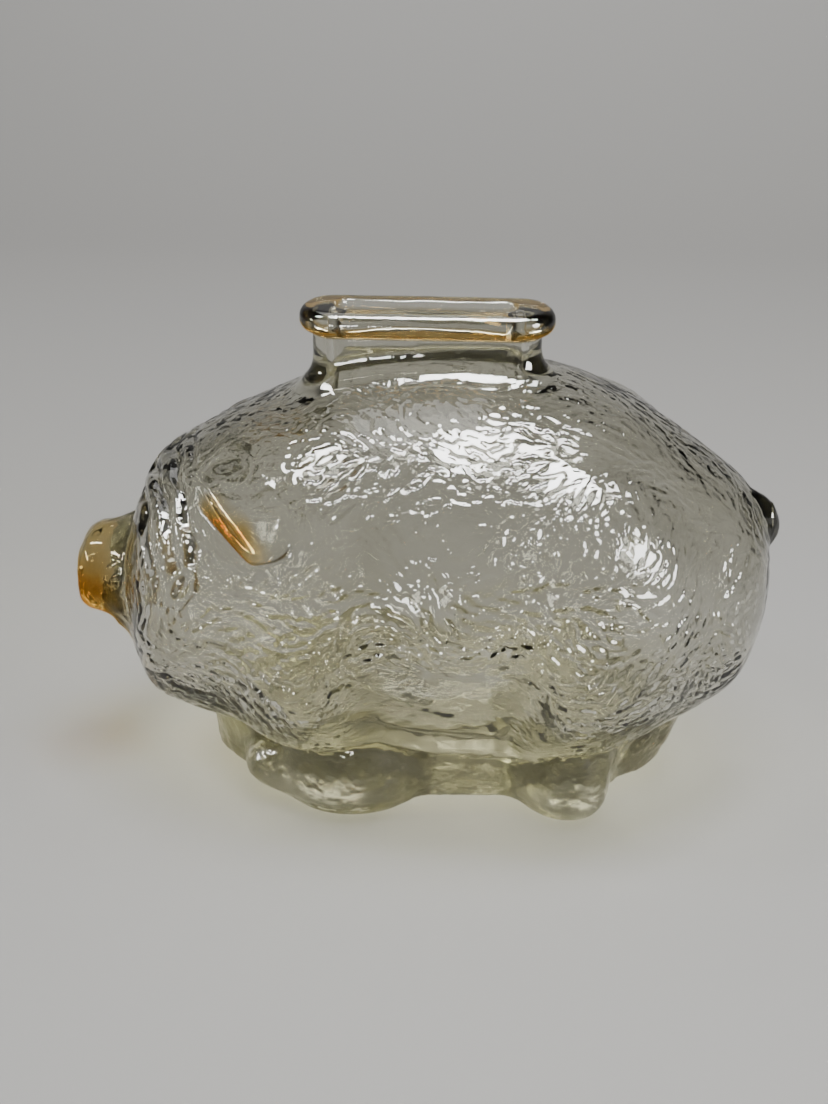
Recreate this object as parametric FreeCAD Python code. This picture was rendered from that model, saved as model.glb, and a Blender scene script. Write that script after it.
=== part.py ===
"""Glass pig coin bank: a hollow barrel-bodied pig on an oval base with four feet.

The glass is one casting on the real object. Here each feature of its mould is a closed solid of its own,
and they meet face to face. Amber stain on the snout, the ears and the lip is a thin film on the glass.

Millimetres. +Z is up, -X is the snout's end, +X the tail's end. The origin is on the surface that the
bank stands on, under the middle of its overall length.
"""
import FreeCAD, Part
import os
from FreeCAD import Vector

# Sections across the barrel, from the snout's face to the rump: x, centre height, half height, half width.
BARREL = [
    (-84.3, 50.0, 4.6, 4.6),
    (-83.6, 50.8, 7.9, 7.9),
    (-80.8, 52.2, 10.8, 10.8),
    (-77.0, 52.3, 12.0, 12.0),
    (-73.5, 51.0, 14.1, 14.1),
    (-70.0, 49.8, 17.6, 17.2),
    (-66.6, 50.9, 25.6, 24.8),
    (-63.0, 51.8, 30.6, 29.6),
    (-55.0, 53.0, 34.8, 33.8),
    (-41.0, 55.0, 40.4, 39.2),
    (-21.0, 56.5, 46.9, 45.0),
    (5.0, 56.8, 50.4, 48.0),
    (29.0, 56.6, 48.8, 47.0),
    (45.0, 55.7, 43.9, 42.9),
    (57.0, 54.7, 37.7, 37.3),
    (67.0, 54.0, 31.4, 31.2),
    (75.0, 53.8, 25.3, 25.1),
    (79.6, 55.4, 17.8, 17.4),
    (82.0, 56.2, 10.0, 9.8),
    (82.7, 56.4, 5.0, 5.0),
]

# Planes where the snout, the head, the barrel and the rump meet.
SNOUT_JOIN_X = -73.5
HEAD_JOIN_X = -45.0
RUMP_JOIN_X = 46.0

# Sections across the hollow, in the same form. The wall is about 3.5 thick, and thicker underneath.
CAVITY = [
    (-70.0, 51.6, 9.0, 9.0),
    (-65.0, 52.4, 22.0, 21.4),
    (-55.5, 53.6, 30.8, 30.0),
    (-41.0, 55.4, 36.8, 35.8),
    (-21.0, 56.9, 43.0, 41.4),
    (5.0, 57.6, 46.2, 44.4),
    (29.0, 57.3, 44.8, 43.4),
    (45.0, 56.4, 39.8, 39.2),
    (57.0, 55.2, 33.6, 33.5),
    (67.0, 54.6, 27.0, 27.0),
    (74.5, 54.8, 20.0, 20.0),
    (79.0, 56.0, 9.0, 9.0),
]

# Smooth panels between the legs, where each side of the belly is cut back to a sloping flat.
PANEL_X = (-14.0, 24.0)
PANEL_TOP_Z = 54.0
PANEL_TOP_Y = 46.6
PANEL_BOTTOM_Z = 22.0
PANEL_BOTTOM_Y = 28.6
PANEL_WALL = 4.0

# Oval base that the feet stand out of.
PLINTH_BOTTOM_X = 3.9
PLINTH_BOTTOM_HALF_LENGTH = 56.5
PLINTH_BOTTOM_HALF_WIDTH = 25.0
PLINTH_BOTTOM_Z = 3.6
PLINTH_TOP_X = 7.4
PLINTH_TOP_HALF_LENGTH = 62.0
PLINTH_TOP_HALF_WIDTH = 27.0
PLINTH_TOP_Z = 26.0
PLINTH_EDGE_RADIUS = 1.4

# Legs: each tapers from the flank down to a stub foot with a small flat sole.
FRONT_LEG_X = -18.0
FRONT_LEG_HALF_LENGTH = 12.8
REAR_LEG_X = 36.4
REAR_LEG_HALF_LENGTH = 9.6
LEG_LEVELS = [
    # height, share of the half length, centre y, half width
    (0.0, 0.44, 23.2, 3.2),
    (1.6, 0.70, 23.4, 5.8),
    (5.4, 0.94, 23.6, 8.0),
    (14.0, 1.06, 24.6, 9.2),
    (22.0, 1.12, 25.8, 9.8),
    (31.0, 1.10, 27.4, 10.0),
]

# Collar on the back, and the rolled lip round the coin slot.
COLLAR_X = 0.6
NECK_LENGTH = 52.0
NECK_WIDTH = 11.2
NECK_TOP_Z = 115.4
NECK_FLARE_Z = 110.5
NECK_FLARE = 2.2
NECK_FOOT_Z = 99.0
NECK_BORE_LENGTH = 44.4
NECK_BORE_WIDTH = 5.6
LIP_LENGTH = 58.0
LIP_WIDTH = 16.4
LIP_HEIGHT = 5.8
LIP_ROUNDING = 2.7
SLOT_LENGTH = 40.4
SLOT_END_WIDTH = 6.0
SLOT_WAIST_WIDTH = 4.7
SLOT_ROUNDING = 1.6

# Ears: flat leaves that lie on the sides of the head, tips down and back.
NEAR_EAR_CENTRE = Vector(-38.2, -29.0, 82.2)
EAR_HALF_SIZES = (14.5, 9.5, 3.6)
EAR_SLOPE_DEG = 29.0
EAR_LEAN_DEG = 45.0
EAR_TURN_DEG = 31.0

# Tail: a solid nub on the rump.
TAIL_CENTRE = Vector(78.4, 0.0, 69.6)
TAIL_HALF_SIZES = (5.6, 4.6, 7.6)

# Amber stain.
FLASH_THICKNESS = 0.25
SNOUT_FLASH_X = -77.0
EAR_FLASH_BREADTH = 4.5
LIP_FLASH_HEIGHT = 2.6

# Larger than the whole bank, for planes and prisms that have to pass all of it.
BEYOND = 200.0


def section(x, centre_z, half_height, half_width):
    """Elliptical section across the pig at x."""
    centre = Vector(x, 0, centre_z)
    top = Vector(x, 0, centre_z + half_height)
    side = Vector(x, min(half_width, half_height - 0.001), centre_z)
    return Part.Wire(Part.Ellipse(top, side, centre).toShape())


def loft(sections):
    return Part.makeLoft([section(*values) for values in sections], True, False)


def slab(x_low, x_high):
    """Everything between two planes across the pig."""
    corner = Vector(x_low, -BEYOND / 2, -BEYOND / 2)
    return Part.makeBox(x_high - x_low, BEYOND, 2 * BEYOND, corner)


def level_ellipse(x, y, half_length, half_width, z):
    """Level ellipse, longer along x than along y."""
    end = Vector(x + half_length, y, z)
    side = Vector(x, y + half_width, z)
    return Part.Wire(Part.Ellipse(end, side, Vector(x, y, z)).toShape())


def waisted_stadium(length, end_width, waist_width, z):
    """Level outline with round ends, whose long sides bow in to waist_width at the middle."""
    r = end_width / 2
    straight = length / 2 - r
    left, middle, right = COLLAR_X - straight, COLLAR_X, COLLAR_X + straight
    far = Part.Arc(Vector(left, r, z), Vector(middle, waist_width / 2, z), Vector(right, r, z))
    near = Part.Arc(Vector(right, -r, z), Vector(middle, -waist_width / 2, z), Vector(left, -r, z))
    tail_end = Part.Arc(Vector(right, r, z), Vector(right + r, 0, z), Vector(right, -r, z))
    head_end = Part.Arc(Vector(left, -r, z), Vector(left - r, 0, z), Vector(left, r, z))
    return Part.Wire([edge.toShape() for edge in (far, tail_end, near, head_end)])


def stadium(length, width, z):
    """Level outline with round ends and straight sides."""
    r = width / 2
    left, right = COLLAR_X - length / 2 + r, COLLAR_X + length / 2 - r
    far = Part.LineSegment(Vector(left, r, z), Vector(right, r, z))
    near = Part.LineSegment(Vector(right, -r, z), Vector(left, -r, z))
    tail_end = Part.Arc(Vector(right, r, z), Vector(right + r, 0, z), Vector(right, -r, z))
    head_end = Part.Arc(Vector(left, -r, z), Vector(left - r, 0, z), Vector(left, r, z))
    return Part.Wire([edge.toShape() for edge in (far, tail_end, near, head_end)])


def upright(outline, height):
    """Prism that rises from a level outline."""
    return Part.Face(outline).extrude(Vector(0, 0, height))


def stretched(shape, factors):
    """Copy of a shape, scaled about the origin by its own factor along each axis."""
    matrix = FreeCAD.Matrix()
    matrix.scale(*factors)
    return shape.transformGeometry(matrix)


def far_side(shape):
    """Mirror image on the pig's other side."""
    return shape.mirror(Vector(0, 0, 0), Vector(0, 1, 0))


def neck_bore():
    """The oblong way through the neck and the top of the barrel."""
    return upright(stadium(NECK_BORE_LENGTH, NECK_BORE_WIDTH, NECK_FOOT_Z - 12), 60)


def near_panel_cut(inset):
    """What the near belly panel takes away; inset moves the panel in, towards the hollow's side of the wall."""
    slope_y = PANEL_TOP_Y - PANEL_BOTTOM_Y
    slope_z = PANEL_TOP_Z - PANEL_BOTTOM_Z
    drop = PANEL_BOTTOM_Z + BEYOND / 4
    top_y = PANEL_TOP_Y - inset
    x = PANEL_X[0] - inset
    corners = [
        Vector(x, -top_y, PANEL_TOP_Z + inset),
        Vector(x, -top_y + slope_y + slope_y * drop / slope_z, PANEL_BOTTOM_Z - drop + inset),
        Vector(x, -BEYOND, PANEL_BOTTOM_Z - drop + inset),
        Vector(x, -BEYOND, PANEL_TOP_Z + inset),
    ]
    outline = Part.makePolygon(corners + corners[:1])
    return Part.Face(outline).extrude(Vector(PANEL_X[1] - PANEL_X[0] + 2 * inset, 0, 0))


def with_panels(solid, inset=0.0):
    """Cuts the belly panel on each side."""
    panel = near_panel_cut(inset)
    return solid.cut(panel).cut(far_side(panel))


def hollow_body(outer):
    """The whole barrel, hollow and open to the neck."""
    hollow = with_panels(loft(CAVITY), PANEL_WALL)
    return outer.cut(hollow).cut(neck_bore())


def base_plinth(outer):
    bottom_sizes = (PLINTH_BOTTOM_HALF_LENGTH, PLINTH_BOTTOM_HALF_WIDTH)
    top_sizes = (PLINTH_TOP_HALF_LENGTH, PLINTH_TOP_HALF_WIDTH)
    bottom = level_ellipse(PLINTH_BOTTOM_X, 0, *bottom_sizes, PLINTH_BOTTOM_Z)
    top = level_ellipse(PLINTH_TOP_X, 0, *top_sizes, PLINTH_TOP_Z)
    drum = Part.makeLoft([bottom, top], True, True)
    low_edges = [edge for edge in drum.Edges if edge.BoundBox.ZMax < PLINTH_BOTTOM_Z + 0.1]
    drum = drum.makeFillet(PLINTH_EDGE_RADIUS, low_edges)
    return drum.cut(outer)


def leg(x, half_length, blocked):
    """Near leg and foot, less what the base and the barrel fill."""
    levels = []
    for height, share, y, half_width in LEG_LEVELS:
        levels.append(level_ellipse(x, -y, share * half_length, half_width, height))
    stub = Part.makeLoft(levels, True, False)
    for solid in blocked:
        stub = stub.cut(solid)
    return stub


def neck_collar(outer):
    """Wall of the neck, which flares out where it meets the back."""
    levels = [
        stadium(NECK_LENGTH + 4 * NECK_FLARE, NECK_WIDTH + 4 * NECK_FLARE, NECK_FOOT_Z),
        stadium(NECK_LENGTH + NECK_FLARE, NECK_WIDTH + NECK_FLARE, (NECK_FOOT_Z + NECK_FLARE_Z) / 2),
        stadium(NECK_LENGTH, NECK_WIDTH, NECK_FLARE_Z),
    ]
    flare = Part.makeLoft(levels, True, False)
    wall = upright(stadium(NECK_LENGTH, NECK_WIDTH, NECK_FLARE_Z), NECK_TOP_Z - NECK_FLARE_Z)
    return flare.fuse(wall).removeSplitter().cut(neck_bore()).cut(outer)


def lip_slab(growth=0.0):
    """The lip before the slot is cut, with its rim rounded."""
    outline = stadium(LIP_LENGTH + 2 * growth, LIP_WIDTH + 2 * growth, NECK_TOP_Z - growth)
    block = upright(outline, LIP_HEIGHT + 2 * growth)
    level_edges = [edge for edge in block.Edges if edge.BoundBox.ZLength < 0.01]
    return block.makeFillet(LIP_ROUNDING + growth, level_edges)


def rolled_lip():
    """Lip with the coin slot through it, the slot's mouth rounded."""
    outline = waisted_stadium(SLOT_LENGTH, SLOT_END_WIDTH, SLOT_WAIST_WIDTH, NECK_TOP_Z - 1)
    lip = lip_slab().cut(upright(outline, LIP_HEIGHT + 2))
    top_z = NECK_TOP_Z + LIP_HEIGHT
    mouth = []
    for edge in lip.Edges:
        box = edge.BoundBox
        reach = max(abs(box.YMin), abs(box.YMax))
        if box.ZMin > top_z - 0.01 and reach < SLOT_END_WIDTH / 2 + 0.1:
            mouth.append(edge)
    return lip.makeFillet(SLOT_ROUNDING, mouth)


def on_near_ear(shape):
    """Lays a shape made in the leaf's own axes (length, breadth, depth) on the near side of the head."""
    shape.rotate(Vector(0, 0, 0), Vector(0, 0, 1), -EAR_SLOPE_DEG)
    shape.rotate(Vector(0, 0, 0), Vector(1, 0, 0), EAR_LEAN_DEG)
    shape.rotate(Vector(0, 0, 0), Vector(0, 0, 1), -EAR_TURN_DEG)
    shape.translate(NEAR_EAR_CENTRE)
    return shape


def near_ear_leaf(growth=0.0):
    """The near ear before the head is cut from it."""
    sizes = [half + growth for half in EAR_HALF_SIZES]
    return on_near_ear(stretched(Part.makeSphere(1.0), sizes))


def tail(outer):
    nub = stretched(Part.makeSphere(1.0), TAIL_HALF_SIZES)
    nub.rotate(Vector(0, 0, 0), Vector(0, 1, 0), -28)
    nub.translate(TAIL_CENTRE)
    return nub.cut(outer)


def snout_flash(outer):
    """Film over the snout's face and rim."""
    grown = []
    for x, centre_z, half_height, half_width in BARREL[:6]:
        grown.append((x - FLASH_THICKNESS, centre_z, half_height + FLASH_THICKNESS, half_width + FLASH_THICKNESS))
    skin = loft(grown).common(slab(-BEYOND, SNOUT_FLASH_X))
    return skin.cut(outer)


def near_ear_flash(outer):
    """Film along the near ear's lower front edge."""
    film = near_ear_leaf(FLASH_THICKNESS).cut(near_ear_leaf()).cut(outer)
    length, breadth, depth = EAR_HALF_SIZES
    corner = Vector(-2 * length, -2 * breadth, -2 * depth)
    edge_zone = Part.makeBox(4 * length, breadth + EAR_FLASH_BREADTH, 4 * depth, corner)
    return film.common(on_near_ear(edge_zone))


def lip_flash():
    """Film round the lower half of the lip's rim."""
    lower_half = upright(stadium(2 * LIP_LENGTH, 2 * LIP_WIDTH, NECK_TOP_Z), LIP_FLASH_HEIGHT)
    return lip_slab(FLASH_THICKNESS).cut(lip_slab()).common(lower_half)


def build():
    """All sub-parts by node name."""
    outer = with_panels(loft(BARREL))
    plinth = base_plinth(outer)
    body = hollow_body(outer)
    nodes = {
        "snout": body.common(slab(-BEYOND, SNOUT_JOIN_X)),
        "head_shell": body.common(slab(SNOUT_JOIN_X, HEAD_JOIN_X)),
        "barrel_shell": body.common(slab(HEAD_JOIN_X, RUMP_JOIN_X)),
        "rump_shell": body.common(slab(RUMP_JOIN_X, BEYOND)),
        "base_plinth": plinth,
        "neck_collar": neck_collar(outer),
        "rolled_lip": rolled_lip(),
        "tail": tail(outer),
        "snout_flash": snout_flash(outer),
        "lip_flash": lip_flash(),
    }
    near = {
        "ear": near_ear_leaf().cut(outer),
        "ear_flash": near_ear_flash(outer),
        "front_foot": leg(FRONT_LEG_X, FRONT_LEG_HALF_LENGTH, (plinth, outer)),
        "rear_foot": leg(REAR_LEG_X, REAR_LEG_HALF_LENGTH, (plinth, outer)),
    }
    for name, shape in near.items():
        nodes[f"left_{name}"] = shape
        nodes[f"right_{name}"] = far_side(shape)
    return nodes


def main():
    os.makedirs("parts", exist_ok=True)
    for name, shape in build().items():
        solids = shape.Solids
        piece = solids[0] if len(solids) == 1 else Part.makeCompound(solids)
        box = piece.optimalBoundingBox(False, False)
        print(f"{name}: {len(solids)} solid, valid {piece.isValid()}, {piece.Volume:.1f} mm3, "
              f"x {box.XMin:.1f}..{box.XMax:.1f} y {box.YMin:.1f}..{box.YMax:.1f} z {box.ZMin:.1f}..{box.ZMax:.1f}")
        piece.exportStep(f"parts/{name}.step")


main()
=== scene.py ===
"""Glass pig coin bank: visual model, studio and camera.

The glass is a field in millimetres, negative inside the glass, and its surface is taken as a mesh.
The snout points to -x, the tail to +x, and side is |y|, because the two sides are alike.
"""

import math

import bpy
import numpy as np
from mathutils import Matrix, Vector, noise


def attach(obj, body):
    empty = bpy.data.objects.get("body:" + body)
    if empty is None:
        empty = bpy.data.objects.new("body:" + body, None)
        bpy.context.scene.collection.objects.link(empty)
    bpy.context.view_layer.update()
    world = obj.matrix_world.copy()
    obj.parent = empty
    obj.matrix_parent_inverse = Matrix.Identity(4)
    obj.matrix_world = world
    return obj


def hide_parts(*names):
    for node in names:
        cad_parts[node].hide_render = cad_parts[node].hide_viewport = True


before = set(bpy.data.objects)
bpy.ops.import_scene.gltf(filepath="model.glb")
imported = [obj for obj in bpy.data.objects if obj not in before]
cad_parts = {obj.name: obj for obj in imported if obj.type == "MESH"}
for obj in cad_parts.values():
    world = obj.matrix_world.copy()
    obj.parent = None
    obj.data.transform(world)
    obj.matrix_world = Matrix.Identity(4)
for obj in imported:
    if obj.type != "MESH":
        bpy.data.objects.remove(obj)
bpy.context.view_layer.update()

MM = 0.001

# ---------------------------------------------------------------- sizes (millimetres)

CELL = 0.8
GRID_LOW = (-86.6, -50.4, -1.4)
GRID_HIGH = (86.6, 50.4, 123.4)

# Sections across the barrel: x, centre height, half height, half width.
BARREL = [
    (-84.3, 50.0, 4.6, 4.6),
    (-83.6, 50.8, 7.9, 7.9),
    (-80.8, 52.2, 10.8, 10.8),
    (-77.0, 52.3, 12.0, 12.0),
    (-73.5, 51.0, 14.1, 14.1),
    (-70.0, 49.8, 17.6, 17.2),
    (-66.6, 50.9, 25.6, 24.8),
    (-63.0, 51.8, 30.6, 29.6),
    (-55.0, 53.0, 34.8, 33.8),
    (-41.0, 55.0, 40.4, 39.2),
    (-21.0, 56.5, 46.9, 45.0),
    (5.0, 56.8, 50.4, 48.0),
    (29.0, 56.6, 48.8, 47.0),
    (45.0, 55.7, 43.9, 42.9),
    (57.0, 54.7, 37.7, 37.3),
    (67.0, 54.0, 31.4, 31.2),
    (75.0, 53.8, 25.3, 25.1),
    (79.6, 55.4, 17.8, 17.4),
    (82.0, 56.2, 10.0, 9.8),
    (82.7, 56.4, 5.0, 5.0),
]
SNOUT_TIP, RUMP_END = BARREL[0][0], BARREL[-1][0]

# Ellipsoids as centre (x, side, z) and half sizes.
HAUNCH = ((38.0, 24.0, 58.0), (28.0, 23.4, 36.0))
SHOULDER = ((-26.0, 22.0, 46.0), (21.0, 22.6, 27.0))
FRONT_SWELL = ((-31.0, 19.0, 9.0), (12.0, 8.0, 7.2))

# The belly panel is a flat cut that leans outward going up.
PANEL_POINT = (46.9, 54.0)          # side, z
PANEL_FACING = (0.872, -0.490)
PANEL_MIDDLE, PANEL_HALF_LENGTH, PANEL_TOP = 5.2, 19.8, 54.8

# Plinth at its underside and at the belly: height, middle x, half length, half width.
PLINTH = [
    (3.6, 3.9, 56.5, 25.0),
    (26.0, 7.4, 62.0, 27.0),
]
PLINTH_TOP = 30.0

# Legs from the sole up: height, share of the half length, centre side, half width.
LEG_LEVELS = [
    (0.0, 0.44, 23.2, 3.2),
    (1.6, 0.78, 23.4, 6.3),
    (5.4, 0.96, 23.8, 8.0),
    (12.0, 1.04, 24.0, 8.8),
    (20.0, 0.96, 23.6, 8.2),
    (30.0, 0.70, 21.0, 6.0),
]
LEG_TOP = 32.0
FRONT_LEG = (-18.0, 12.8)           # middle x, half length
REAR_LEG = (36.4, 9.6)

EAR_CENTRE = (-38.2, -29.0, 82.2)
EAR_SLOPE = math.radians(29.0)
EAR_LEAN = math.radians(45.0)
EAR_TURN = math.radians(31.0)
EAR_LEAF = ((-1.0, 1.0, 0.0), (16.0, 10.6, 3.8))
EAR_FRONT, EAR_FRONT_SLANT = 6.6, 0.06  # the straight front edge, in front of the centre
EAR_RIM = 4.4                       # back of the rim along that edge
EAR_PANE = 1.4                      # height of the flat pane behind the rim
EAR_SINK, EAR_SINK_FROM = 0.13, -3.0    # slope at which the leaf sinks into the head, and from where

EYE_CENTRE = (-53.0, 32.8, 65.0)
EYE_AXES = ((0.52, 0.0, 0.854), (0.743, 0.494, -0.452), (-0.42, 0.87, 0.26))
EYE_RECESS = ((0.0, 0.0, 2.2), (4.4, 2.1, 3.6))

TAIL_CENTRE = (78.4, 69.6)          # x, z
TAIL_LEAN = math.radians(28.0)
TAIL_HALF_SIZES = (5.6, 4.4, 7.6)

# Oblongs with round ends: half length and half width, all about the middle x of the opening.
OPENING_X = 0.6
NECK = (26.0, 5.6)
BORE = (22.2, 2.8)
SLOT = (20.2, 3.0)
LIP = (29.0, 8.2)
NECK_FOOT, NECK_TOP = 96.0, 117.0
NECK_FLARE = (1.35, 103.6, 2.4)     # growth at the foot, height where it starts to fade, and how fast
BORE_FOOT, BORE_TOP = 92.0, 116.6
SLOT_FOOT = 112.0
SLOT_PINCH = (0.65, 17.0)           # depth of the pinch at the middle, half length of the pinch
SLOT_MOUTH = (119.4, 2.0, 1.1)      # start height, height and width of the rounded mouth
LIP_MIDDLE, LIP_RADIUS = 118.3, 2.8  # height and radius of the roll
LIP_HALF_FLAT = 0.1                 # half height of the flat between the roll's round top and underside

WALL = 3.6
BASE_WALL_GAIN = 1.8                # further thickness of the wall low down
BASE_WALL_HEIGHTS = (40.0, 14.0)    # where that starts, going down, and where it is whole
HOLLOW_PANEL_SHIFT = 0.6            # how much thinner the wall is at the belly panel
HOLLOW_FLOOR = 10.0
HOLLOW_FRONT = -68.0

# Width of the blend where two features meet, or where a feature's own faces do.
BLEND = {
    "snout_tip": 1.6, "rump_end": 1.6, "haunch": 5.0, "shoulder": 5.0, "eye": 0.6,
    "panel": 4.5, "panel_ends": 9.0, "panel_top": 6.0,
    "front_leg": 11.0, "rear_leg": 9.0, "front_swell": 5.0, "base": 1.6,
    "plinth_edge": 1.6, "plinth_top": 3.0, "sole": 1.2, "leg_top": 4.0,
    "ear": 1.1, "ear_front": 0.8, "ear_pane": 0.8, "ear_rim": 1.6, "tail": 1.6,
    "neck": 6.5, "neck_ends": 1.0, "lip": 0.9,
    "hollow_panel": 9.0, "hollow_floor": 5.0, "hollow_front": 7.0,
    "bore": 6.0, "bore_ends": 1.0, "slot": 0.8, "slot_foot": 1.0, "opening": 0.5,
}


# ---------------------------------------------------------------- field helpers

def smooth_min(a, b, k):
    """Lesser of two fields, blended over a width k where they meet."""
    mix = np.clip(0.5 + 0.5 * (b - a) / k, 0.0, 1.0)
    return b + (a - b) * mix - k * mix * (1.0 - mix)


def smooth_max(a, b, k):
    return -smooth_min(-a, -b, k)


def ease(low, high, value):
    """0 below low, 1 above high, smooth between."""
    t = np.clip((value - low) / (high - low), 0.0, 1.0)
    return t * t * (3.0 - 2.0 * t)


def smooth_rows(rows, steps):
    """Rows of numbers joined by Catmull-Rom curves."""
    rows = np.array(rows)
    padded = np.vstack([2 * rows[0] - rows[1], rows, 2 * rows[-1] - rows[-2]])
    out = []
    for i in range(1, len(padded) - 2):
        p0, p1, p2, p3 = padded[i - 1:i + 3]
        for t in np.linspace(0, 1, steps, endpoint=False):
            out.append(0.5 * (2 * p1 + (p2 - p0) * t + (2 * p0 - 5 * p1 + 4 * p2 - p3) * t * t
                              + (3 * p1 - p0 - 3 * p2 + p3) * t ** 3))
    out.append(rows[-1])
    return np.array(out)


def at(places, rows):
    """Each further column of rows, read at places along the first column."""
    rows = np.asarray(rows)
    return [np.interp(places, rows[:, 0], column) for column in rows.T[1:]]


def ellipsoid(x, y, z, centre, sizes):
    """Distance outside an ellipsoid, good near its surface."""
    u, v, w = (x - centre[0]) / sizes[0], (y - centre[1]) / sizes[1], (z - centre[2]) / sizes[2]
    q = np.sqrt(u * u + v * v + w * w) + 1e-6
    steep = np.sqrt((u / sizes[0]) ** 2 + (v / sizes[1]) ** 2 + (w / sizes[2]) ** 2) / q
    return (q - 1.0) / steep


def ellipse(x, y, length, width):
    """Level distance outside an ellipse of the given half sizes."""
    u, v = x / length, y / width
    q = np.sqrt(u * u + v * v) + 1e-6
    return (q - 1.0) * q / np.sqrt((u / length) ** 2 + (v / width) ** 2)


def oblong(x, y, half_length, half_width):
    """Level distance outside an oblong with round ends, about the middle of the opening."""
    along = np.maximum(np.abs(x - OPENING_X) - (half_length - half_width), 0.0)
    return np.sqrt(along * along + y * y) - half_width


# ---------------------------------------------------------------- the glass

BARREL_ROWS = smooth_rows(BARREL, 24)
BARREL_STEEP = np.gradient(BARREL_ROWS[:, 2], BARREL_ROWS[:, 0]) / BARREL_ROWS[:, 2]
BARREL_ROWS = np.column_stack([BARREL_ROWS, BARREL_STEEP])
LEG_ROWS = smooth_rows(LEG_LEVELS, 10)


def barrel(x, y, z):
    """Distance outside the egg of head, barrel and rump."""
    centre, half_height, half_width, steep = at(x, BARREL_ROWS)
    v, w = y / half_width, (z - centre) / half_height
    q = np.sqrt(v * v + w * w) + 1e-6
    across = ((v / half_width) ** 2 + (w / half_height) ** 2) / (q * q)
    d = (q - 1.0) / np.sqrt(across + (q * steep) ** 2 * ease(0.3, 0.9, q))
    d = smooth_max(d, SNOUT_TIP - x, BLEND["snout_tip"])
    return smooth_max(d, x - RUMP_END, BLEND["rump_end"])


def trunk(x, side, z):
    """The egg with its haunches and shoulders."""
    d = barrel(x, side, z)
    d = smooth_min(d, ellipsoid(x, side, z, *HAUNCH), BLEND["haunch"])
    return smooth_min(d, ellipsoid(x, side, z, *SHOULDER), BLEND["shoulder"])


def panel_depth(x, side, z):
    """Distance inside the region that the belly panel takes away."""
    outward = PANEL_FACING[0] * (side - PANEL_POINT[0]) + PANEL_FACING[1] * (z - PANEL_POINT[1])
    d = smooth_max(-outward, np.abs(x - PANEL_MIDDLE) - PANEL_HALF_LENGTH, BLEND["panel_ends"])
    return -smooth_max(d, z - PANEL_TOP, BLEND["panel_top"])


def plinth(x, y, z):
    """Distance outside the oval plinth between the legs and the belly."""
    middle, length, width = at(z, PLINTH)
    d = ellipse(x - middle, y, length, width)
    d = smooth_max(d, PLINTH[0][0] - z, BLEND["plinth_edge"])
    return smooth_max(d, z - PLINTH_TOP, BLEND["plinth_top"])


def leg(x, side, z, place):
    """Distance outside a stub leg; place is its middle x and half length."""
    middle, half_length = place
    share, centre, breadth = at(z, LEG_ROWS)
    d = ellipse(x - middle, side - centre, share * half_length, breadth)
    d = smooth_max(d, -z, BLEND["sole"])
    return smooth_max(d, z - LEG_TOP, BLEND["leg_top"])


def ear_axes(x, side_y, z):
    """Coordinates along, across and out of the ear; side_y is negative."""
    dx, dy, dz = x - EAR_CENTRE[0], side_y - EAR_CENTRE[1], z - EAR_CENTRE[2]
    c, s = math.cos(EAR_TURN), math.sin(EAR_TURN)
    ax, ay, az = c * dx - s * dy, s * dx + c * dy, dz
    c, s = math.cos(EAR_LEAN), math.sin(EAR_LEAN)
    bx, by, bz = ax, c * ay + s * az, -s * ay + c * az
    c, s = math.cos(EAR_SLOPE), math.sin(EAR_SLOPE)
    return c * bx - s * by, s * bx + c * by, bz


def ear(along, across, out):
    """Leaf with a flat pane behind its straight front edge, which stands up as a rim."""
    sunk = out + EAR_SINK * np.maximum(across - EAR_SINK_FROM, 0.0)
    leaf = ellipsoid(along, across, sunk, *EAR_LEAF)
    leaf = smooth_max(leaf, EAR_FRONT_SLANT * along - EAR_FRONT - across, BLEND["ear_front"])
    pane = smooth_min(out - EAR_PANE, across + EAR_RIM, BLEND["ear_rim"])
    return smooth_max(leaf, pane, BLEND["ear_pane"])


def eye_axes(x, side, z):
    """Coordinates along, across and out of the eye."""
    shift = (x - EYE_CENTRE[0], side - EYE_CENTRE[1], z - EYE_CENTRE[2])
    return [a * shift[0] + b * shift[1] + c * shift[2] for a, b, c in EYE_AXES]


def tail(x, y, z):
    """Distance outside the nub of a tail."""
    dx, dz = x - TAIL_CENTRE[0], z - TAIL_CENTRE[1]
    c, s = math.cos(TAIL_LEAN), math.sin(TAIL_LEAN)
    return ellipsoid(c * dx + s * dz, y, -s * dx + c * dz, (0, 0, 0), TAIL_HALF_SIZES)


def neck(x, y, z):
    """Distance outside the oblong collar, which flares where it meets the back."""
    growth, start, fade = NECK_FLARE
    flare = growth * np.exp(-np.maximum(z - start, 0.0) / fade)
    d = oblong(x, y, NECK[0] + flare, NECK[1] + flare)
    d = smooth_max(d, z - NECK_TOP, BLEND["neck_ends"])
    return smooth_max(d, NECK_FOOT - z, BLEND["neck_ends"])


def lip(x, y, z):
    """Distance outside the rolled rim, the slot left out of account."""
    flat = oblong(x, y, *LIP) + LIP_RADIUS
    tall = np.abs(z - LIP_MIDDLE) - LIP_HALF_FLAT
    reach = np.sqrt(np.maximum(flat, 0.0) ** 2 + np.maximum(tall, 0.0) ** 2)
    return reach + np.minimum(np.maximum(flat, tall), 0.0) - LIP_RADIUS


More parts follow.
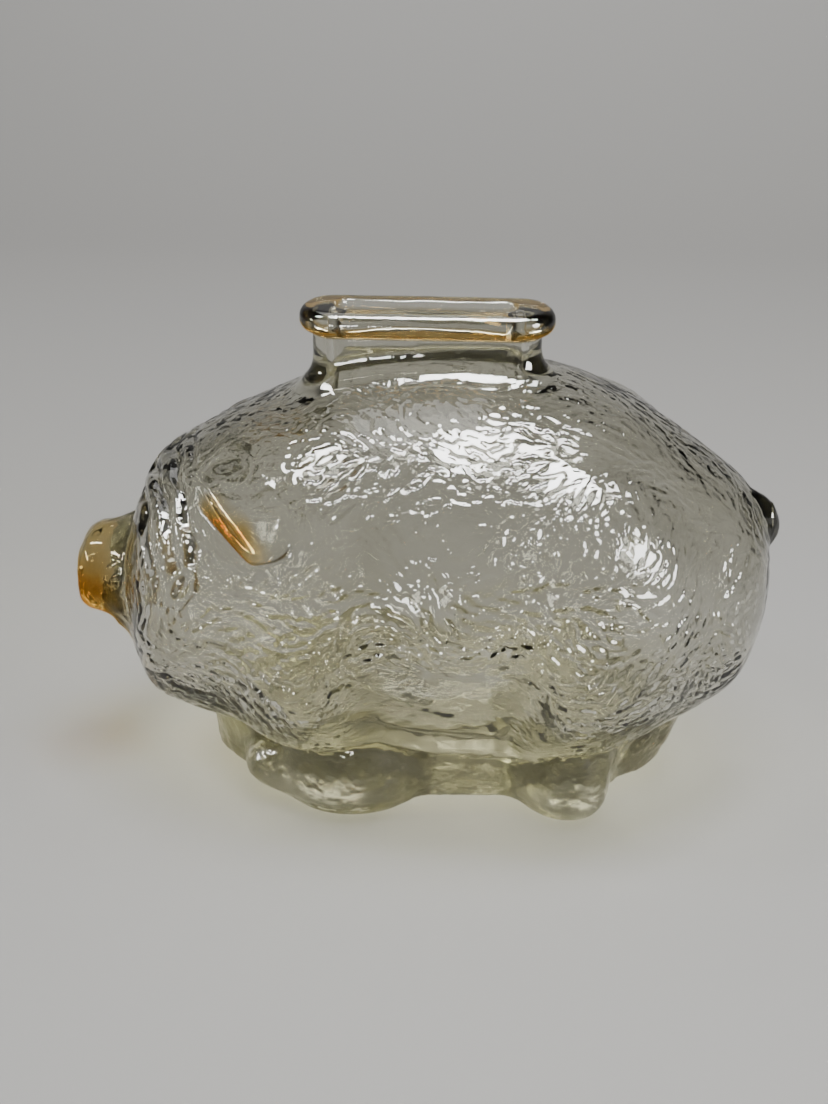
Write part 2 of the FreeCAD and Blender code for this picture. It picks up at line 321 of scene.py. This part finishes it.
def outer(x, y, z):
    """Distance outside the glass, the hollow left out of account."""
    side = np.abs(y)
    d = trunk(x, side, z)
    d = smooth_max(d, panel_depth(x, side, z), BLEND["panel"])
    d = smooth_max(d, -ellipsoid(*eye_axes(x, side, z), *EYE_RECESS), BLEND["eye"])
    base = smooth_min(plinth(x, y, z), leg(x, side, z, FRONT_LEG), BLEND["front_leg"])
    base = smooth_min(base, leg(x, side, z, REAR_LEG), BLEND["rear_leg"])
    base = smooth_min(base, ellipsoid(x, side, z, *FRONT_SWELL), BLEND["front_swell"])
    d = smooth_min(d, np.maximum(base, -z), BLEND["base"])
    d = smooth_min(d, ear(*ear_axes(x, -side, z)), BLEND["ear"])
    d = smooth_min(d, tail(x, y, z), BLEND["tail"])
    d = smooth_min(d, neck(x, y, z), BLEND["neck"])
    return smooth_min(d, lip(x, y, z), BLEND["lip"])


def slot(x, y, z):
    """Distance outside the coin slot, pinched at its middle and rounded at its mouth."""
    pinch, pinch_length = SLOT_PINCH
    start, height, width = SLOT_MOUTH
    half_width = SLOT[1] - pinch * np.clip(1.0 - ((x - OPENING_X) / pinch_length) ** 2, 0.0, 1.0)
    d = oblong(x, y, *SLOT) + SLOT[1] - half_width
    rise = np.maximum(z - start, 0.0)
    d = d - width * (1.0 - np.sqrt(np.clip(1.0 - (rise / height) ** 2, 0.0, 1.0)))
    return smooth_max(d, SLOT_FOOT - z, BLEND["slot_foot"])


def void(x, y, z):
    """Distance outside the hollow."""
    side = np.abs(y)
    d = trunk(x, side, z)
    d = smooth_max(d, panel_depth(x, side, z) - HOLLOW_PANEL_SHIFT, BLEND["hollow_panel"])
    d = d + WALL + BASE_WALL_GAIN * ease(*BASE_WALL_HEIGHTS, z)
    d = smooth_max(d, HOLLOW_FLOOR - z, BLEND["hollow_floor"])
    d = smooth_max(d, HOLLOW_FRONT - x, BLEND["hollow_front"])
    bore = oblong(x, y, *BORE)
    bore = smooth_max(bore, z - BORE_TOP, BLEND["bore_ends"])
    bore = smooth_max(bore, BORE_FOOT - z, BLEND["bore_ends"])
    d = smooth_min(d, bore, BLEND["bore"])
    return smooth_min(d, slot(x, y, z), BLEND["slot"])


def glass(x, y, z):
    """Distance outside the glass."""
    return smooth_max(outer(x, y, z), -void(x, y, z), BLEND["opening"])


# ---------------------------------------------------------------- surface of a field

def sample(field):
    """Values of a field on the grid, a slab of layers at a time."""
    slab = 16
    axes = [np.arange(low, high + CELL, CELL) for low, high in zip(GRID_LOW, GRID_HIGH)]
    values = np.empty([len(axis) for axis in axes], dtype=np.float32)
    y, z = axes[1][None, :, None], axes[2][None, None, :]
    for start in range(0, len(axes[0]), slab):
        x = axes[0][start:start + slab, None, None]
        shape = (x.shape[0], len(axes[1]), len(axes[2]))
        values[start:start + slab] = field(*(np.broadcast_to(part, shape) for part in (x, y, z)))
    return values


def surface(values):
    """Surface nets: a vertex in each cell that the surface crosses, a quad across each crossed edge."""
    inside = values < 0
    size = np.array(values.shape) - 1
    count = np.zeros(size, dtype=np.uint8)
    corners = [(i, j, k) for i in (0, 1) for j in (0, 1) for k in (0, 1)]
    for i, j, k in corners:
        count += inside[i:i + size[0], j:j + size[1], k:k + size[2]]
    cells = np.argwhere((count > 0) & (count < 8))
    index = np.full(size, -1, dtype=np.int32)
    index[tuple(cells.T)] = np.arange(len(cells))
    total = np.zeros((len(cells), 3))
    hits = np.zeros(len(cells))
    for first in corners:
        for axis in range(3):
            if first[axis]:
                continue
            second = list(first)
            second[axis] = 1
            a = values[tuple((cells + first).T)]
            b = values[tuple((cells + second).T)]
            crossed = (a < 0) != (b < 0)
            share = np.where(crossed, a / np.where(crossed, a - b, 1.0), 0.0)
            point = np.array(first, dtype=float)[None, :] * crossed[:, None]
            point[:, axis] += share
            total += point
            hits += crossed
    points = (cells + total / hits[:, None]) * CELL + np.array(GRID_LOW)
    quads = []
    for axis in range(3):
        u, v = (axis + 1) % 3, (axis + 2) % 3
        here = np.moveaxis(inside, (axis, u, v), (0, 1, 2))
        net = np.moveaxis(index, (axis, u, v), (0, 1, 2))
        low, high = here[:-1, 1:-1, 1:-1], here[1:, 1:-1, 1:-1]
        i, j, k = np.nonzero(low != high)
        loop = np.stack([net[i, j, k], net[i, j + 1, k], net[i, j + 1, k + 1], net[i, j, k + 1]], axis=1)
        flip = ~low[i, j, k]
        loop[flip] = loop[flip][:, ::-1]
        quads.append(loop)
    return points, np.concatenate(quads)


def subdivide(points, quads):
    """Each quad in four."""
    count = len(points)
    ends = np.sort(np.concatenate([quads[:, [i, (i + 1) % 4]] for i in range(4)]), axis=1).astype(np.int64)
    edges, owner = np.unique(ends[:, 0] * count + ends[:, 1], return_inverse=True)
    middles = 0.5 * (points[edges // count] + points[edges % count])
    side = count + owner.reshape(4, -1).T
    centre = count + len(edges) + np.arange(len(quads))
    parts = [np.stack([quads[:, i], side[:, i], centre, side[:, i - 1]], axis=1) for i in range(4)]
    return np.vstack([points, middles, points[quads].mean(axis=1)]), np.concatenate(parts)


def slope_of(field, p):
    """Gradient of a field at each point."""
    step = 0.05
    out = np.empty_like(p)
    for axis in range(3):
        shift = np.zeros(3)
        shift[axis] = step
        out[:, axis] = (field(*(p + shift).T) - field(*(p - shift).T)) / (2 * step)
    return out


def settle(field, points, rounds):
    """Moves points onto the surface of a field."""
    longest_move = 0.5 * CELL
    for _ in range(rounds):
        value = field(*points.T)
        slope = slope_of(field, points)
        move = value / np.maximum((slope ** 2).sum(axis=1), 0.2)
        move = np.clip(move, -longest_move, longest_move)
        points = points - slope * move[:, None]
    return points


def vertex_normals(points, faces):
    """Unit normal at each vertex of a mesh of quads."""
    a, b, c, d = (points[faces[:, i]] for i in range(4))
    normal = np.cross(c - a, d - b)
    out = np.zeros_like(points)
    for i in range(4):
        for axis in range(3):
            out[:, axis] += np.bincount(faces[:, i], weights=normal[:, axis], minlength=len(points))
    return out / np.maximum(np.linalg.norm(out, axis=1), 1e-9)[:, None]


# ---------------------------------------------------------------- relief

# Size in millimetres and seed of each noise.
NOISES = {
    "stroke_angle": (22.0, 1), "patches": (16.0, 7), "hollow": (9.0, 9), "blotches": (6.0, 11),
    "low_waves": (5.0, 12), "low_grain": (1.5, 13), "calm_waves": (5.5, 15), "calm_grain": (2.0, 16),
    "nose_waves": (6.0, 17), "nose_grain": (2.6, 18), "fold_path": (9.0, 21), "fold_depth": (6.0, 22),
}

# Depths of the waves and of the grain in the uneven fire polish.
POLISH = {"nose": (0.45, 0.22), "calm": (0.22, 0.07), "low": (0.30, 0.15)}
HOLLOW_WAVES = 0.35

CRINKLE_DEPTH, SIDEWAYS_GAIN = 0.31, 0.50

# Places about which the skin is smooth, in the axes of each feature.
NECK_CALM = (27.0, 6.6)
EAR_CALM = ((-1.0, 1.4, 0.0), (16.4, 12.4, 8.0))
EYE_CALM = ((0.0, 0.0, 0.0), (4.8, 2.5, 4.0))

BROW_FRONT, BROW_FOOT = -46.0, 60.0
FOLD_START, FOLD_PITCH = -58.2, 4.6
FOLD_DEPTH, FOLD_LIMIT = 3.4, 2.2

# Primes that scatter a cell's three whole numbers and a seed, and the two numbers of the generator.
SCATTER = (73856093, 19349663, 83492791, 2654435761)
GENERATOR = (np.uint64(6364136223846793005), np.uint64(1442695040888963407))


def noise_at(points, kind):
    """Perlin noise of one kind at each point, -1 to 1."""
    size, seed = NOISES[kind]
    offset = np.array((seed * 17.3, seed * 5.1, seed * 9.7))
    scaled = points / size + offset
    return np.array([noise.noise(Vector(row)) for row in scaled.tolist()])


def relief_strength(p):
    """How strongly the skin is crinkled at each point, 0 to 1."""
    x, y, z = p.T
    side = np.abs(y)
    strength = ease(-81.0, -69.0, x)
    strength *= ease(1.0, 4.0, oblong(x, y, *NECK_CALM) + 0.5 * np.maximum(100.0 - z, 0.0))
    strength *= ease(0.4, 2.4, ellipsoid(*ear_axes(x, -side, z), *EAR_CALM))
    strength *= ease(0.0, -2.0, panel_depth(x, side, z))
    strength *= ease(1.6, 0.5, trunk(x, side, z))
    strength *= ease(14.0, 20.0, z)
    brow = ease(-49.0, -57.0, x) * ease(58.0, 68.0, z)
    strength *= 1.0 - 0.45 * brow
    mid_flank = ease(60.0, 72.0, z) * ease(94.0, 82.0, z) * ease(-34.0, -22.0, x) * ease(30.0, 14.0, x)
    strength *= 1.0 - 0.55 * mid_flank
    strength *= ease(-1.0, 1.5, tail(x, y, z))
    strength *= ease(0.0, 1.6, ellipsoid(*eye_axes(x, side, z), *EYE_CALM))
    return strength


def folds(p):
    """Depth of the wrinkles that run down over the brow."""
    x, y, z = p.T
    f = x - 0.26 * np.abs(y) + 0.10 * (z - 70.0) + 1.7 * noise_at(p, "fold_path")
    groove = (0.5 + 0.5 * np.cos(2 * np.pi * (f - FOLD_START) / FOLD_PITCH)) ** 1.6
    uneven = np.clip(0.75 + 0.9 * noise_at(p, "fold_depth"), 0.15, 1.2)
    extent = ease(-77.0, -70.0, f) * ease(-51.0, -60.0, f) * ease(BROW_FOOT, BROW_FOOT + 14.0, z)
    return FOLD_DEPTH * groove * uneven * extent


def random_rows(cells, seed, count):
    """Numbers from 0 to 1 that belong to whole-number cells."""
    a, b, c, d = SCATTER
    state = (cells[:, 0] * a ^ cells[:, 1] * b ^ cells[:, 2] * c ^ seed * d).astype(np.uint64)
    out = []
    for _ in range(count):
        state = state * GENERATOR[0] + GENERATOR[1]
        out.append(((state >> np.uint64(33)) & np.uint64(0xFFFFFF)).astype(float) / 0x1000000)
    return out


def strokes(p, normals, angle, spread, pitch, length, breadth, seed):
    """Sum of short rounded strokes, raised and sunk, scattered over the surface at about one angle."""
    along = np.zeros_like(p)
    along[:, 0] = 1.0
    along -= normals * normals[:, :1]
    along /= np.maximum(np.linalg.norm(along, axis=1), 0.05)[:, None]
    up = np.cross(normals, along)
    home = np.floor(p / pitch).astype(np.int64)
    total = np.zeros(len(p))
    for step in np.ndindex(3, 3, 3):
        cell = home + np.array(step) - 1
        rx, ry, rz, turn, sign, size = random_rows(cell, seed, 6)
        delta = p - (cell + np.stack([rx, ry, rz], axis=1)) * pitch
        bearing = angle + spread * (turn - 0.5)
        u, v, w = ((delta * axis).sum(axis=1) for axis in (along, up, normals))
        a = np.cos(bearing) * u + np.sin(bearing) * v
        b = np.cos(bearing) * v - np.sin(bearing) * u
        weight = np.exp(-(a / length) ** 2 - (b / breadth) ** 2 - (w / (0.6 * pitch)) ** 2)
        total += np.where(sign < 0.5, -1.0, 1.0) * (0.6 + 0.8 * size) * weight
    return total


def crinkle(p, normals):
    """Depth of the crinkled relief below the surface, 0 to 1."""
    angle = 2.6 * noise_at(p, "stroke_angle")
    coarse = strokes(p, normals, angle, spread=1.0, pitch=1.7, length=1.8, breadth=0.56, seed=3)
    fine = strokes(p, normals, angle + 0.5, spread=3.1, pitch=1.1, length=0.8, breadth=0.38, seed=4)
    return 0.5 - 0.5 * np.tanh(2.3 * coarse + 0.8 * fine)


def skin_relief(p, normals):
    """Depth of the crinkled skin at full strength, boldest where it faces sideways."""
    sideways = ease(0.45, 0.85, np.abs(normals[:, 1]))
    endways = ease(0.6, 0.95, np.abs(normals[:, 0]))
    patchy = np.clip(0.65 + 0.55 * noise_at(p, "patches"), 0.3, 1.0)
    bold = (CRINKLE_DEPTH + SIDEWAYS_GAIN * sideways) * (1.0 - 0.3 * endways)
    return bold * patchy * crinkle(p, normals)


def polish(p, kind):
    """Depth of the uneven fire polish of one kind, about zero."""
    waves, grain = POLISH[kind]
    return waves * noise_at(p, kind + "_waves") + grain * noise_at(p, kind + "_grain")


def relief(points, normals, skin):
    """Depth of all relief below each vertex of the smooth glass; skin marks the outside."""
    x, y, z = points.T
    strength = np.zeros(len(points))
    strength[skin] = relief_strength(points[skin])
    depth = np.zeros(len(points))

    crinkled = strength > 0.01
    depth[crinkled] = strength[crinkled] * skin_relief(points[crinkled], normals[crinkled])

    brow = skin & (x < BROW_FRONT) & (z > BROW_FOOT)
    depth[brow] += np.minimum(folds(points[brow]) * strength[brow], FOLD_LIMIT)

    nose = skin & (x < -66.0)
    depth[nose] += ease(-66.0, -70.0, x[nose]) * polish(points[nose], "nose")

    calm = skin & (strength < 0.6) & (z > 3.0)
    on_ear = ear(*ear_axes(x[calm], -np.abs(y[calm]), z[calm])) < 0.6
    share = np.where((z[calm] < 98.0) & ~on_ear, 1.0, 0.4) * (1.0 - strength[calm])
    depth[calm] += share * polish(points[calm], "calm")

    low = skin & (z < 22.0)
    share = ease(22.0, 16.0, z[low]) * ease(1.0, 4.0, z[low])
    depth[low] += share * (0.5 * POLISH["low"][0] + polish(points[low], "low"))

    depth[~skin] += HOLLOW_WAVES * noise_at(points[~skin], "hollow")
    return depth


# ---------------------------------------------------------------- glass mesh

def add_mesh(name, points, faces):
    """Smooth-shaded mesh object; points in millimetres, faces with equal numbers of corners."""
    mesh = bpy.data.meshes.new(name)
    faces = np.asarray(faces)
    mesh.vertices.add(len(points))
    mesh.vertices.foreach_set("co", (np.asarray(points) * MM).astype(np.float32).ravel())
    mesh.loops.add(faces.size)
    mesh.loops.foreach_set("vertex_index", faces.astype(np.int32).ravel())
    mesh.polygons.add(len(faces))
    mesh.polygons.foreach_set("loop_start", np.arange(0, faces.size, faces.shape[1], dtype=np.int32))
    mesh.update(calc_edges=True)
    mesh.validate()
    mesh.shade_smooth()
    obj = bpy.data.objects.new(name, mesh)
    bpy.context.scene.collection.objects.link(obj)
    return obj


def add_values(obj, name, values):
    """One number on each vertex, for a material to read."""
    attribute = obj.data.attributes.new(name, "FLOAT", "POINT")
    attribute.data.foreach_set("value", values.astype(np.float32))


points, faces = subdivide(*surface(sample(glass)))
points = settle(glass, points, 3)
normals = vertex_normals(points, faces)
skin = outer(*points.T) > -void(*points.T)
points = points - normals * relief(points, normals, skin)[:, None]
normals = vertex_normals(points, faces)

glass_body = add_mesh("glass_body", points, faces)
add_values(glass_body, "haze", skin * ease(26.0, 12.0, points[:, 2]))

GLASS_NODES = ["snout", "head_shell", "barrel_shell", "rump_shell", "base_plinth", "neck_collar",
               "rolled_lip", "tail", "left_ear", "right_ear", "left_front_foot", "right_front_foot",
               "left_rear_foot", "right_rear_foot"]


# ---------------------------------------------------------------- stains

FILM_BASE, FILM_TOP = 0.03, 0.10    # heights above the glass, the top one where the stain is full
FEATHER = 0.02                      # weight that is cut off, so that each film has an edge


def film(name, weight):
    """Closed film over the glass where weight (one value per vertex) is above zero."""
    chosen = np.all(weight[faces] > 0.0, axis=1) & np.all(skin[faces], axis=1)
    used, quads = np.unique(faces[chosen], return_inverse=True)
    quads = quads.reshape(-1, 4)
    count = len(used)
    fullness = np.clip(weight[used], 0.0, 0.3)[:, None] / 0.3
    top = points[used] + normals[used] * (FILM_BASE + (FILM_TOP - FILM_BASE) * fullness)
    bottom = points[used] + normals[used] * FILM_BASE * 0.5
    edges = np.concatenate([quads[:, [i, (i + 1) % 4]] for i in range(4)])
    keys = edges[:, 0].astype(np.int64) * count + edges[:, 1]
    back = edges[:, 1].astype(np.int64) * count + edges[:, 0]
    rim = edges[~np.isin(keys, back)]
    side = np.stack([rim[:, 1], rim[:, 0], rim[:, 0] + count, rim[:, 1] + count], axis=1)
    obj = add_mesh(name, np.vstack([top, bottom]), np.vstack([quads, quads[:, ::-1] + count, side]))
    add_values(obj, "stain", np.tile(np.clip(weight[used], 0.0, 1.0), 2))
    return obj


def stain_weights():
    """Weight of the stain on the snout, the ears' front edges and the lip's underside."""
    x, y, z = points.T
    blotch = noise_at(points, "blotches")
    tip = ease(-66.0, -83.0, x + 4.0 * blotch)
    above = 1.0 - 0.80 * ease(49.0, 62.0, z + 3.0 * blotch)
    far_side = 1.0 - 0.55 * ease(-3.0, 6.0, y)
    snout = tip * above * far_side - FEATHER
    along, across, out = ear_axes(x, -np.abs(y), z)
    front_edge = ease(0.5, -6.0, across + 2.5 * blotch) * ease(15.0, 4.0, np.abs(along - 3.0)) - FEATHER
    ears = np.where(ear(along, across, out) < 0.5, front_edge, -1.0)
    under_lip = 0.7 * ease(114.2, 115.6, z) * ease(118.6, 116.4, z + 0.3 * blotch) - FEATHER
    lip_under = np.where(oblong(x, y, 26.0, 5.0) > -0.2, under_lip, -1.0)
    return snout, ears, lip_under


snout_weight, ear_weight, lip_weight = stain_weights()
left = points[:, 1] < 0
STAINS = [
    (film("snout_stain", snout_weight), "snout_flash"),
    (film("left_ear_stain", np.where(left, ear_weight, -1.0)), "left_ear_flash"),
    (film("right_ear_stain", np.where(left, -1.0, ear_weight)), "right_ear_flash"),
    (film("lip_stain", lip_weight), "lip_flash"),
]


# ---------------------------------------------------------------- materials

GLASS_COLOUR = (0.81, 0.805, 0.761, 1)
GLASS_SHADOW = (0.93, 0.93, 0.90, 1)
GLASS_DEPTH_COLOUR, GLASS_DEPTH_DENSITY = (0.66, 0.65, 0.52, 1), 70.0
GLASS_ROUGHNESS, BASE_ROUGHNESS = 0.03, 0.13
GRAIN_STRENGTH, GRAIN_HEIGHT = 0.10, 0.0002
STAIN_CLEAR, STAIN_HALF, STAIN_FULL = (1.0, 1.0, 1.0, 1), (0.95, 0.82, 0.56, 1), (0.86, 0.56, 0.20, 1)


class Shading:
    """A material with its node tree, which starts with only its output node."""

    def __init__(self, name):
        self.material = bpy.data.materials.new(name)
        self.material.use_nodes = True
        self.tree = self.material.node_tree
        self.tree.nodes.clear()
        self.out = self.add("OutputMaterial")

    def add(self, kind, **inputs):
        """New shader node; an input's name is written with _ for each space."""
        node = self.tree.nodes.new("ShaderNode" + kind)
        for name, value in inputs.items():
            node.inputs[name.replace("_", " ")].default_value = value
        return node

    def link(self, source, output, target, slot):
        self.tree.links.new(source.outputs[output], target.inputs[slot])

    def clouds(self, size, detail):
        """Noise texture in the object's own coordinates; a larger size number is a finer noise."""
        place = self.add("TexCoord")
        node = self.add("TexNoise", Scale=size, Detail=detail)
        self.link(place, "Object", node, "Vector")
        return node


def clear_glass():
    s = Shading("clear_glass")
    shader = s.add("BsdfPrincipled", Base_Color=GLASS_COLOUR, Transmission_Weight=1.0, IOR=1.5)
    rough = s.add("MapRange", To_Min=0.0, To_Max=GLASS_ROUGHNESS)
    s.link(s.clouds(45.0, 3.0), "Fac", rough, "Value")
    haze = s.add("Attribute")
    haze.attribute_name = "haze"
    hazy = s.add("Math")
    hazy.operation = "MULTIPLY_ADD"
    hazy.inputs[1].default_value = BASE_ROUGHNESS
    s.link(haze, "Fac", hazy, 0)
    s.link(rough, "Result", hazy, 2)
    s.link(hazy, "Value", shader, "Roughness")
    bump = s.add("Bump", Strength=GRAIN_STRENGTH, Distance=GRAIN_HEIGHT)
    s.link(s.clouds(900.0, 2.0), "Fac", bump, "Height")
    s.link(bump, "Normal", shader, "Normal")
    path = s.add("LightPath")
    clear = s.add("BsdfTransparent", Color=GLASS_SHADOW)
    mix = s.add("MixShader")
    s.link(path, "Is Shadow Ray", mix, "Fac")
    s.link(shader, "BSDF", mix, 1)
    s.link(clear, "BSDF", mix, 2)
    s.link(mix, "Shader", s.out, "Surface")
    tint = s.add("VolumeAbsorption", Color=GLASS_DEPTH_COLOUR, Density=GLASS_DEPTH_DENSITY)
    s.link(tint, "Volume", s.out, "Volume")
    return s.material


def amber_stain():
    s = Shading("amber_stain")
    weight = s.add("Attribute")
    weight.attribute_name = "stain"
    uneven = s.add("MapRange", To_Min=0.55, To_Max=1.15)
    s.link(s.clouds(300.0, 4.0), "Fac", uneven, "Value")
    product = s.add("Math")
    product.operation = "MULTIPLY"
    product.use_clamp = True
    s.link(weight, "Fac", product, 0)
    s.link(uneven, "Result", product, 1)
    ramp = s.add("ValToRGB")
    stops = ramp.color_ramp.elements
    stops[0].color, stops[1].color = STAIN_CLEAR, STAIN_FULL
    stops.new(0.5).color = STAIN_HALF
    s.link(product, "Value", ramp, "Fac")
    shader = s.add("BsdfTransparent")
    s.link(ramp, "Color", shader, "Color")
    s.link(shader, "BSDF", s.out, "Surface")
    return s.material


def paper(name, colour, roughness):
    s = Shading(name)
    shader = s.add("BsdfPrincipled", Base_Color=(*colour, 1), Roughness=roughness)
    s.link(shader, "BSDF", s.out, "Surface")
    return s.material


glass_body.data.materials.append(clear_glass())
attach(glass_body, "root")
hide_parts(*GLASS_NODES)
stain_material = amber_stain()
for piece, node in STAINS:
    piece.data.materials.append(stain_material)
    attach(piece, "root")
    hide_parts(node)


# ---------------------------------------------------------------- studio (sizes in metres)

BANK_MIDDLE = (0.0, 0.0, 0.06)
BACK_FLOOR = (0.0, 0.55, 0.05)

# Area lamps: name, place, what they point at, width and height, power.
LAMPS = [
    ("overhead", (0.06, -0.10, 0.98), BANK_MIDDLE, (0.46, 0.30), 41.0),
    ("overhead_left", (-0.50, -0.09, 0.86), BANK_MIDDLE, (0.18, 0.24), 11.0),
    ("overhead_right", (0.46, 0.06, 0.92), BANK_MIDDLE, (0.20, 0.18), 6.0),
    ("window_left", (-0.93, -0.20, 0.36), BANK_MIDDLE, (0.18, 0.10), 3.2),
    ("window_right", (0.70, -0.47, 0.40), BANK_MIDDLE, (0.36, 0.38), 24.0),
    ("window_front", (-0.17, -0.95, 0.08), BANK_MIDDLE, (0.14, 0.12), 2.6),
    ("rear", (-0.2, 0.50, 1.1), BACK_FLOOR, (1.0, 0.5), 5.0),
]
ROOM_COLOUR, ROOM_STRENGTH = (0.58, 0.565, 0.53, 1), 0.22
PAPER_COLOUR, PAPER_ROUGHNESS = (0.067, 0.0656, 0.0626), 0.7
CAMERA_PLACE = (0.0181, -0.3552, 0.2474)
CAMERA_TARGET = (-0.00235, 0.0, 0.0582)
CAMERA_LENS = 54.13                 # mm, on a sensor 36 mm high


def backdrop():
    """Floor that sweeps up into a back wall; sizes in millimetres."""
    half_breadth, front, wall, top = 2200, -1400, 750, 1800
    radius, steps = 330, 16
    profile = [(front, 0)]
    for i in range(steps + 1):
        angle = math.radians(90 * i / steps)
        profile.append((wall - radius + radius * math.sin(angle), radius - radius * math.cos(angle)))
    profile.append((wall, top))
    points = [(x, y, z) for y, z in profile for x in (-half_breadth, half_breadth)]
    faces = [(2 * i, 2 * i + 1, 2 * i + 3, 2 * i + 2) for i in range(len(profile) - 1)]
    obj = add_mesh("backdrop", np.array(points, dtype=float), np.array(faces))
    obj.data.materials.append(paper("backdrop_paper", PAPER_COLOUR, PAPER_ROUGHNESS))


def aim(obj, place, target):
    """Puts a lamp or camera in its place, pointing at target."""
    obj.location = place
    obj.rotation_euler = (Vector(target) - Vector(place)).to_track_quat("-Z", "Y").to_euler()
    bpy.context.scene.collection.objects.link(obj)


backdrop()
for name, place, target, size, power in LAMPS:
    lamp = bpy.data.lights.new(name, "AREA")
    lamp.shape = "RECTANGLE"
    lamp.size, lamp.size_y = size
    lamp.energy = power
    aim(bpy.data.objects.new(name, lamp), place, target)

world = bpy.data.worlds.new("studio")
world.use_nodes = True
room = world.node_tree.nodes["Background"]
room.inputs["Color"].default_value = ROOM_COLOUR
room.inputs["Strength"].default_value = ROOM_STRENGTH
bpy.context.scene.world = world

camera_data = bpy.data.cameras.new("camera")
camera_data.sensor_fit = "VERTICAL"
camera_data.sensor_height = 36.0
camera_data.lens = CAMERA_LENS
camera_data.clip_start = 0.01
camera = bpy.data.objects.new("camera", camera_data)
aim(camera, CAMERA_PLACE, CAMERA_TARGET)
bpy.context.scene.camera = camera
